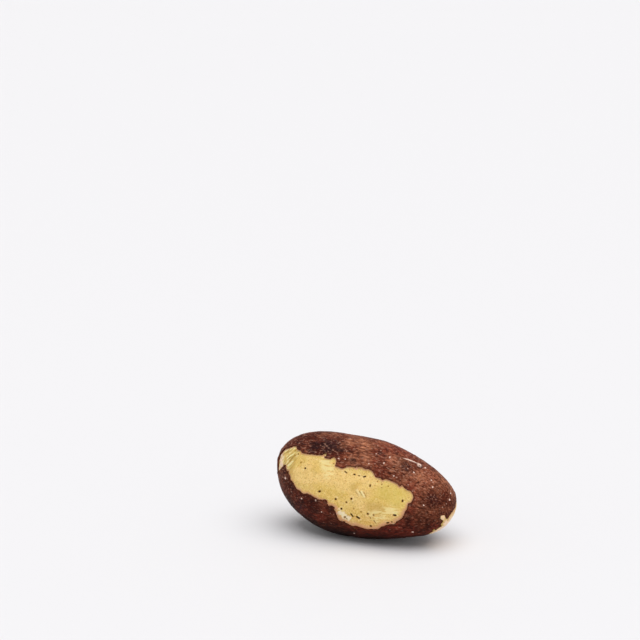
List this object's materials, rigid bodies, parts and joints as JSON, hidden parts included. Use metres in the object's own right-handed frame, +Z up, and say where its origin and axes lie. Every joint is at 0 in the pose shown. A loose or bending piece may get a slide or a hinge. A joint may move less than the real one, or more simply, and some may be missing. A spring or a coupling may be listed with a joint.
{
  "type": "brazil nut kernel",
  "caption": "Shelled Brazil nut kernel, plump and softly three-sided, with torn brown skin over ivory flesh, lying on its flattest side.",
  "frame": {"origin": "on the floor below the middle of the nut's box", "axes": "+X along the nut to its thinner end, +Z up from the flat spot that it rests on, -Y to the side with the large bare patch"},
  "size_m": [0.0354, 0.0182, 0.0183],
  "materials": {
    "brown_skin": "satin",
    "ivory_flesh": "satin"
  },
  "bodies": {
    "root": {"kernel": "brown_skin"}
  },
  "joints": []
}
